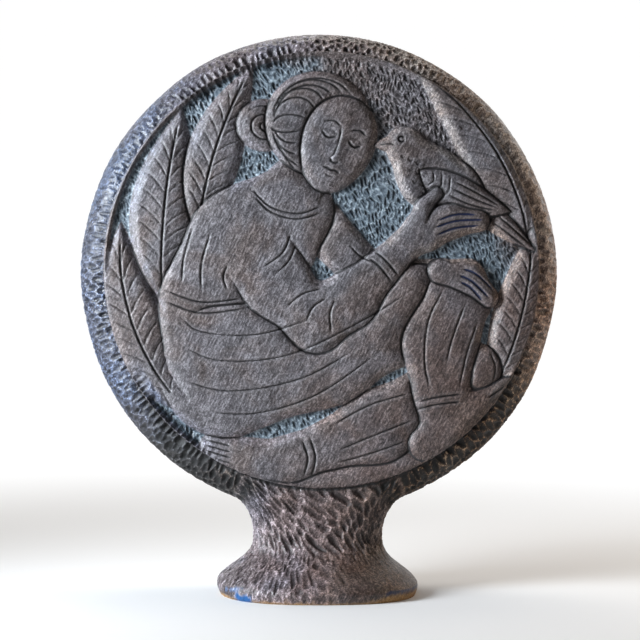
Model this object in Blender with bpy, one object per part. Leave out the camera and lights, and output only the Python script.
"""A round ceramic relief on a flared foot, in one solid.

The disc stands upright and faces -Y. Its carved face shows a seated figure with a bird among leaves,
and a rounded rim and a plain back close the disc. A neck grows out of the bottom of the rim and flares
into an oval foot with an unglazed ring underneath. The origin is at the middle of the foot's underside.
"""

import math

import bmesh
import bpy
import numpy as np

# Driving sizes, in metres.
DISC_DIAMETER = 0.300
DISC_THICKNESS = 0.062
RIM_WIDTH = 0.016  # how far the rounded rim stands out beyond the carved face
FACE_ROLL = 0.0015  # how far the carved face rolls down towards its edge
FACE_STEP = 0.0042  # how far the rim and the neck start behind the face
FACE_WALL_SLOPE = 0.001  # how far the step's foot stands out beyond its top
FACE_LIFT = 0.0025  # the face's centre stands this much above the disc's
STEM_HEIGHT = 0.050  # from the ground up to the lowest point of the disc's circle
NECK_DROP = 0.013  # from there down to the narrowest part of the neck
NECK_WIDTH = 0.081
NECK_DEPTH = 0.046
FILLET_SPREAD = 0.0135  # how far the neck's fillet reaches out along the disc, on each side
FOOT_WIDTH = 0.126
FOOT_DEPTH = 0.108
LIP_HEIGHT = 0.006  # the foot's widest line above the ground
LIP_UNDERCUT = 0.0015
FOOT_RING_WALL = 0.010
FOOT_RECESS = 0.005

# Carving depths, in metres.
GROUND_DEPTH = 0.0042  # the sunk ground below the face
EDGE_DROP = 0.0010  # how far the edge of a form rolls down
DIP_DEPTH = 0.0012  # how far a form sinks towards one that passes in front of it
CROWN_HEIGHT = 0.0007  # how far the middle of a form swells

# Widths in the carving, as shares of the face's radius.
EDGE_WIDTH = 0.035
DIP_WIDTH = 0.04
CROWN_WIDTH = 0.14
BORDER_WIDTH = 0.04

# How finely the solid is faceted.
FACE_RINGS = 34
RIM_ROWS = 6
FILLET_ROWS = 4
FLARE_ROWS = 6
SNAP_SHARE = 0.45  # how far from an outline a face point is moved onto it, as a share of the facet size
SNAP_INSIDE = 0.05  # how far inside the outline it ends up

FLARE_POWER = 1.55
PLAN_POWER = 2.5  # 2 is an ellipse; more is squarer
RIM_POWER = 2.2

CLAY_COLOUR = (0.105, 0.082, 0.078, 1.0)
CLAY_ROUGHNESS = 0.48

disc_radius = DISC_DIAMETER / 2
face_radius = disc_radius - RIM_WIDTH
disc_centre_z = STEM_HEIGHT + disc_radius
neck_z = STEM_HEIGHT - NECK_DROP
side_angle = math.asin((NECK_WIDTH / 2 + FILLET_SPREAD) / disc_radius)  # half the neck's hole in the rim

# The figure's joints, as shares of the face's radius from the face's centre: x to the right, then up.
SHOULDER = (-0.36, 0.15)
FAR_SHOULDER = (-0.02, 0.21)
NECK_BASE = (-0.20, 0.30)
NAPE = (-0.05, 0.50)
CHEST = (-0.16, 0.27)
UPPER_BACK = (-0.34, 0.10)
LOWER_BACK = (-0.47, -0.16)
PELVIS = (-0.45, -0.36)
HIP = (-0.44, -0.47)
KNEE = (0.63, -0.12)
CALF = (0.54, -0.34)
ANKLE = (0.55, -0.74)
HEEL = (0.48, -0.80)
TOES = (0.86, -0.54)
ELBOW = (-0.03, -0.25)
WRIST = (0.38, 0.12)
FINGER_ENDS = (0.72, 0.235)
FAR_ELBOW = (0.20, -0.02)
FAR_WRIST = (0.54, 0.00)
FAR_FINGER_ENDS = (0.77, -0.12)
FAR_KNEE = (0.70, -0.46)
FAR_CALF = (0.26, -0.72)
FAR_ANKLE = (-0.14, -0.87)
FAR_INSTEP = (-0.34, -0.88)
FAR_TOES = (-0.50, -0.82)
HEAD_TILT = -20.0

TINY = 1e-9


def smooth_step(t):
    t = np.clip(t, 0, 1)
    return t * t * (3 - 2 * t)


def smooth_min(a, b, blend):
    h = np.clip(0.5 + 0.5 * (b - a) / blend, 0, 1)
    return b * (1 - h) + a * h - blend * h * (1 - h)


def chain(x, z, blend, *joints):
    """Signed distance to a chain of tapering rounds: a point, its radius, the next point and so on."""
    total = None
    points, radii = joints[::2], joints[1::2]
    for a, b, a_radius, b_radius in zip(points[:-1], points[1:], radii[:-1], radii[1:]):
        dx, dz = b[0] - a[0], b[1] - a[1]
        t = np.clip(((x - a[0]) * dx + (z - a[1]) * dz) / (dx * dx + dz * dz), 0, 1)
        d = np.hypot(x - a[0] - t * dx, z - a[1] - t * dz) - (a_radius + t * (b_radius - a_radius))
        total = d if total is None else smooth_min(total, d, blend)
    return total


def egg(x, z, centre, half_width, half_height, tilt=0.0, narrowing=0.0):
    """Signed distance to an oval that is narrower at its lower end."""
    c, s = math.cos(math.radians(tilt)), math.sin(math.radians(tilt))
    across = (x - centre[0]) * c + (z - centre[1]) * s
    along = (z - centre[1]) * c - (x - centre[0]) * s
    width = half_width * (1 + narrowing * np.clip(along / half_height, -1, 1))
    q = np.hypot(across / width, along / half_height) + TINY
    return (q - 1) * (np.hypot(across, along) + TINY * half_height) / q


def leaf(x, z, base, tip, half_width, bend=0.0):
    """Signed distance to a leaf that is pointed at both ends, with a bent midrib."""
    length = math.dist(base, tip)
    ux, uz = (tip[0] - base[0]) / length, (tip[1] - base[1]) / length
    along = ((x - base[0]) * ux + (z - base[1]) * uz) / length
    across = (z - base[1]) * ux - (x - base[0]) * uz - bend * 4 * along * (1 - along)
    half = half_width * np.sin(np.pi * np.clip(along, 0, 1) ** 0.85) ** 0.9
    beyond = np.maximum(-along, along - 1) * length
    return np.where(beyond > 0, np.hypot(beyond, across), 0.9 * (np.abs(across) - half))


def bird_body(x, z):
    back = chain(x, z, 0.08, (0.72, 0.28), 0.06, (0.60, 0.36), 0.12, (0.48, 0.44), 0.125, (0.38, 0.55), 0.08)
    head = egg(x, z, (0.365, 0.59), 0.075, 0.07)
    beak = leaf(x, z, (0.34, 0.59), (0.235, 0.575), 0.028)
    return smooth_min(smooth_min(back, head, 0.04), beak, 0.01)


def near_arm(x, z):
    arm = chain(
        x, z, 0.07, SHOULDER, 0.17, (-0.22, -0.06), 0.145, ELBOW, 0.115, (0.12, -0.14), 0.115, WRIST, 0.065
    )
    hand = chain(x, z, 0.04, WRIST, 0.065, (0.47, 0.19), 0.088, (0.58, 0.23), 0.07, FINGER_ENDS, 0.045)
    return smooth_min(arm, hand, 0.03)


def near_lower_leg(x, z):
    shin = chain(x, z, 0.10, KNEE, 0.15, CALF, 0.15, (0.55, -0.56), 0.105, ANKLE, 0.072)
    foot = chain(x, z, 0.05, HEEL, 0.075, (0.60, -0.73), 0.09, (0.74, -0.64), 0.075, TOES, 0.05)
    return smooth_min(shin, foot, 0.05)


def forms(x, z):
    """The carved forms from the back to the front: each one's signed distance, its height above the face,
    and where its edge fades into the form behind: a point, and the radius at which the edge is whole again.
    """
    far_leg = chain(
        x, z, 0.08, FAR_KNEE, 0.13, FAR_CALF, 0.15, FAR_ANKLE, 0.085, FAR_INSTEP, 0.08, FAR_TOES, 0.06
    )
    far_arm = chain(x, z, 0.06, FAR_SHOULDER, 0.11, FAR_ELBOW, 0.095, (0.38, -0.03), 0.07, FAR_WRIST, 0.055)
    torso = chain(x, z, 0.12, CHEST, 0.20, UPPER_BACK, 0.26, LOWER_BACK, 0.25, PELVIS, 0.27)
    thigh = chain(x, z, 0.14, HIP, 0.30, (0.0, -0.36), 0.235, (0.36, -0.20), 0.19, KNEE, 0.155)
    far_hand = chain(x, z, 0.05, FAR_WRIST, 0.055, (0.67, -0.02), 0.062, FAR_FINGER_ENDS, 0.042)
    thumb = chain(x, z, 0.02, (0.40, 0.16), 0.045, (0.46, 0.30), 0.032, (0.52, 0.36), 0.026)
    return [
        (leaf(x, z, (-0.62, -0.66), (-0.93, 0.20), 0.15, 0.10), -0.0013, ()),
        (leaf(x, z, (-0.74, -0.14), (-0.66, 0.72), 0.15, 0.03), -0.0010, ()),
        (leaf(x, z, (-0.58, 0.16), (-0.34, 0.93), 0.12, 0.04), -0.0013, ()),
        (leaf(x, z, (0.96, 0.10), (0.40, 0.90), 0.14, -0.09), -0.0010, ()),
        (leaf(x, z, (0.80, -0.50), (0.955, 0.20), 0.085, -0.02), -0.0013, ()),
        (far_leg, -0.0008, ()),
        (far_arm, -0.0008, ()),
        (torso, -0.0002, ()),
        (chain(x, z, 0.06, NECK_BASE, 0.15, NAPE, 0.105), -0.0002, (((-0.21, 0.20), 0.34),)),
        (egg(x, z, (-0.28, 0.66), 0.125, 0.115), -0.0003, ()),
        (egg(x, z, (-0.03, 0.67), 0.245, 0.235, HEAD_TILT), 0.0, ()),
        (egg(x, z, (0.055, 0.575), 0.165, 0.225, HEAD_TILT, 0.13), 0.0001, ()),
        (thigh, 0.0, (((-0.71, -0.36), 0.28),)),
        (near_lower_leg(x, z), 0.0, (((0.70, -0.03), 0.26),)),
        (far_hand, 0.0003, ()),
        (leaf(x, z, (0.60, 0.40), (0.98, 0.10), 0.055), -0.0008, ()),
        (bird_body(x, z), 0.0, ()),
        (leaf(x, z, (0.44, 0.46), (0.86, 0.28), 0.085, -0.03), 0.0003, ()),
        (near_arm(x, z), 0.0004, (((-0.42, 0.26), 0.44),)),
        (thumb, 0.0005, (((0.40, 0.15), 0.15),)),
    ]


def relief_height(x, z):
    """The carved surface's height above the face's plane, in metres, at shares x, z of the face's radius."""
    height = np.full(x.shape, -GROUND_DEPTH)
    raised = np.zeros(x.shape, bool)
    for distance, level, fades in forms(x, z):
        keep = np.ones(x.shape)
        for (fade_x, fade_z), fade_radius in fades:
            keep = keep * smooth_step(2 * np.hypot(x - fade_x, z - fade_z) / fade_radius - 1)
        outside = np.maximum(distance, 0)
        dip = keep * DIP_DEPTH * np.exp(-((outside / DIP_WIDTH) ** 2))
        behind = np.where(raised & (distance > 0), height - dip, height)
        inside = np.maximum(-distance, 0)
        roll = EDGE_DROP * (1 - np.clip(inside / EDGE_WIDTH, 0, 1)) ** 2
        own = level + CROWN_HEIGHT * smooth_step(inside / CROWN_WIDTH) - roll * keep
        own = np.where(raised, own * keep + behind * (1 - keep), own)
        height = np.where(distance < 0, own, behind)
        raised = raised | (distance < 0)
    border = smooth_step((np.hypot(x, z) - (1 - BORDER_WIDTH)) / BORDER_WIDTH)
    return height * (1 - border) - FACE_ROLL * border


def snapped(x, z, facet):
    """Moves the points close to a visible outline just inside it, so that the facets follow the outlines."""
    probe = facet / 20
    here, right, above = (
        np.array([form[0] for form in forms(x + dx, z + dz)]) for dx, dz in ((0, 0), (probe, 0), (0, probe))
    )
    covered = np.zeros(x.shape, bool)
    best = np.full(x.shape, np.inf)
    move_x, move_z = np.zeros(x.shape), np.zeros(x.shape)
    for distance, at_right, at_above in zip(here[::-1], right[::-1], above[::-1]):
        slope_x, slope_z = (at_right - distance) / probe, (at_above - distance) / probe
        steepness = np.maximum(np.hypot(slope_x, slope_z), 0.2)
        gap = distance / steepness
        chosen = (np.abs(gap) < best) & ~covered & (np.abs(gap) < SNAP_SHARE * facet)
        best = np.where(chosen, np.abs(gap), best)
        move = -gap - SNAP_INSIDE * facet
        move_x = np.where(chosen, move * slope_x / steepness, move_x)
        move_z = np.where(chosen, move * slope_z / steepness, move_z)
        covered |= distance < 0
    inner = np.hypot(x, z) < 1 - facet
    return x + move_x * inner, z + move_z * inner


def ring_directions(count):
    """Unit directions round the disc, from straight down towards +X, as x and z parts."""
    angle = 2 * np.pi * np.arange(count) / count
    return np.sin(angle), -np.cos(angle)


def rim_directions(count, half_hole):
    """The same, with the directions spread so that 2 * half_hole steps just span the neck's hole."""
    step = np.arange(count)
    from_hole = side_angle + (step - half_hole) / (count - 2 * half_hole) * 2 * (math.pi - side_angle)
    angle = np.where(step <= half_hole, side_angle * step / half_hole, from_hole)
    angle = np.where(step >= count - half_hole, side_angle * (step - count) / half_hole, angle)
    return np.sin(angle), -np.cos(angle)


def face_points():
    """The carved face, ring by ring from its centre, as arrays of points."""
    rings = []
    for k in range(FACE_RINGS + 1):
        ux, uz = ring_directions(max(6 * k, 1))
        x, z = ux * k / FACE_RINGS, uz * k / FACE_RINGS
        if k < FACE_RINGS:
            x, z = snapped(x, z, 1 / FACE_RINGS)
        y = -DISC_THICKNESS / 2 - relief_height(x, z)
        rings.append(np.stack([x * face_radius, y, z * face_radius + disc_centre_z + FACE_LIFT], axis=1))
    return rings


def rim_points(ux, uz):
    """The rim, row by row from the foot of the step at the face's edge round to the edge of the flat back."""
    half_thickness = (DISC_THICKNESS - FACE_STEP) / 2
    inner_radius = face_radius + FACE_WALL_SLOPE
    rows = []
    for j in range(RIM_ROWS + 1):
        angle = math.pi * (j / RIM_ROWS - 0.5)
        out = abs(math.cos(angle)) ** (2 / RIM_POWER)
        back = math.copysign(abs(math.sin(angle)) ** (2 / RIM_POWER), angle)
        radius = inner_radius + (disc_radius - inner_radius) * out
        centre_z = disc_centre_z + FACE_LIFT * max(-back, 0)
        y = np.full(ux.shape, FACE_STEP / 2 + half_thickness * back)
        rows.append(np.stack([ux * radius, y, uz * radius + centre_z], axis=1))
    return rows


def plan_point(share, half_width, half_depth):
    """A point of the foot's oval plan. share goes from 0 to 1 round from the front left, the front first."""
    angle = 2 * math.pi * (share - 0.125)
    across = math.copysign(abs(math.sin(angle)) ** (2 / PLAN_POWER), math.sin(angle))
    towards = math.copysign(abs(math.cos(angle)) ** (2 / PLAN_POWER), math.cos(angle))
    return np.array([half_width * across, -half_depth * towards])


def flare(t):
    """0 at the neck and 1 at the foot's widest line."""
    return float(smooth_step(t**FLARE_POWER))


def stem_rows(loop, shares, directions):
    """The neck and the foot, row by row downwards from the loop that is cut out of the rim."""
    neck = np.array([[*plan_point(s, NECK_WIDTH / 2, NECK_DEPTH / 2), neck_z] for s in shares])
    rows = []
    reach = np.linalg.norm(neck - loop, axis=1)[:, None]
    for k in range(1, FILLET_ROWS + 1):
        t = k / FILLET_ROWS
        start = (1 + 2 * t) * (1 - t) ** 2 * loop + t * (1 - t) ** 2 * reach * directions
        end = t * t * (3 - 2 * t) * neck + t * t * (t - 1) * reach * np.array([0, 0, -1.0])
        rows.append(start + end)
    for k in range(1, FLARE_ROWS + 1):
        t = k / FLARE_ROWS
        half_width = NECK_WIDTH / 2 + (FOOT_WIDTH - NECK_WIDTH) / 2 * flare(t)
        half_depth = NECK_DEPTH / 2 + (FOOT_DEPTH - NECK_DEPTH) / 2 * flare(t)
        z = neck_z + (LIP_HEIGHT - neck_z) * t
        rows.append(np.array([[*plan_point(s, half_width, half_depth), z] for s in shares]))
    for t in (0.5, 1.0):
        inset = LIP_UNDERCUT * t * t
        half_width, half_depth = FOOT_WIDTH / 2 - inset, FOOT_DEPTH / 2 - inset
        z = LIP_HEIGHT * (1 - t)
        rows.append(np.array([[*plan_point(s, half_width, half_depth), z] for s in shares]))
    return rows


class Shell:
    """A growing closed mesh: points in rows, and the faces between them."""

    def __init__(self):
        self.points = []
        self.faces = []

    def add(self, row):
        first = len(self.points)
        self.points.extend(map(tuple, row))
        return list(range(first, len(self.points)))

    def strip(self, upper, lower, closed=True):
        """Quads between two rows with as many points each."""
        count = len(upper)
        for i in range(count if closed else count - 1):
            j = (i + 1) % count
            self.faces.append((upper[i], upper[j], lower[j], lower[i]))

    def halving_strip(self, upper, lower):
        """Triangles between a closed row and one with half as many points."""
        for i, left in enumerate(lower):
            right = lower[(i + 1) % len(lower)]
            a, b, c = upper[2 * i], upper[2 * i + 1], upper[(2 * i + 2) % len(upper)]
            self.faces.extend([(a, b, left), (b, right, left), (b, c, right)])

    def rings(self, inner, outer):
        """Triangles between a ring of 6(k-1) points and one of 6k outside it."""
        k = len(outer) // 6
        for sector in range(6):
            for i in range(k):
                a, b = outer[sector * k + i], outer[(sector * k + i + 1) % len(outer)]
                c = inner[(sector * (k - 1) + i) % len(inner)]
                self.faces.append((a, b, c))
                if i < k - 1:
                    self.faces.append((b, inner[(sector * (k - 1) + i + 1) % len(inner)], c))


def build_shell():
    shell = Shell()
    face = [shell.add(ring) for ring in face_points()]
    for inner, outer in zip(face[:-1], face[1:]):
        shell.rings(inner, outer)
    count = 3 * FACE_RINGS
    half_hole = round(count * side_angle / (2 * math.pi))
    rows = [shell.add(row) for row in rim_points(*rim_directions(count, half_hole))]
    kept = [i % count for i in range(half_hole, count - half_hole + 1)]
    shell.halving_strip(face[-1], rows[0])
    for upper, lower in zip(rows[:-1], rows[1:]):
        shell.strip([upper[i] for i in kept], [lower[i] for i in kept], closed=False)
    shell.faces.append(tuple(rows[-1]))

    # The hole's edge: along the front from -X to +X, then the right side, the back and the left side.
    front = [rows[0][i] for i in range(-half_hole, half_hole)]
    right = [row[half_hole] for row in rows[:-1]]
    back = [rows[-1][i] for i in range(half_hole, -half_hole, -1)]
    left = [row[-half_hole] for row in rows[:0:-1]]
    sides = (front, right, back, left)
    shares = [(k + i / len(side)) / 4 for k, side in enumerate(sides) for i in range(len(side))]
    edge = front + right + back + left
    loop = np.array([shell.points[i] for i in edge])
    # The fillet leaves the sides of the hole along the rim and its front and back straight down.
    along_rim = math.cos(side_angle) * (loop[:, 0] / loop[:, 0].max()) ** 3
    directions = np.stack([-along_rim, np.zeros(len(edge)), -np.sqrt(1 - along_rim**2)], axis=1)
    above = edge
    for row in stem_rows(loop, shares, directions):
        below = shell.add(row)
        shell.strip(above, below)
        above = below
    shell.faces.append(tuple(above))
    return shell


def clay():
    material = bpy.data.materials.new("dark_stoneware")
    material.use_nodes = True
    shader = material.node_tree.nodes["Principled BSDF"]
    shader.inputs["Base Color"].default_value = CLAY_COLOUR
    shader.inputs["Roughness"].default_value = CLAY_ROUGHNESS
    shader.inputs["Metallic"].default_value = 0.0
    material.diffuse_color = CLAY_COLOUR
    return material


def build_relief():
    shell = build_shell()
    mesh = bpy.data.meshes.new("relief_disc")
    mesh.from_pydata(shell.points, [], shell.faces)
    bm = bmesh.new()
    bm.from_mesh(mesh)
    bmesh.ops.recalc_face_normals(bm, faces=bm.faces)
    # The unglazed ring that the foot stands on, round a shallow recess.
    sole = min(bm.faces, key=lambda face: face.calc_center_median().z)
    bmesh.ops.inset_region(bm, faces=[sole], thickness=FOOT_RING_WALL, use_even_offset=True)
    bmesh.ops.translate(bm, verts=extruded_sole(bm, sole), vec=(0, 0, FOOT_RECESS))
    bm.to_mesh(mesh)
    bm.free()
    mesh.shade_smooth()
    mesh.set_sharp_from_angle(angle=math.radians(60))
    mesh.materials.append(clay())
    body = bpy.data.objects.new("relief_disc", mesh)
    bpy.context.scene.collection.objects.link(body)


def extruded_sole(bm, sole):
    """Extrudes the inner face of the underside and gives back the new face's points."""
    made = bmesh.ops.extrude_discrete_faces(bm, faces=[sole])
    return list(made["faces"][0].verts)


def main():
    for old in list(bpy.data.objects):
        bpy.data.objects.remove(old)
    build_relief()


main()
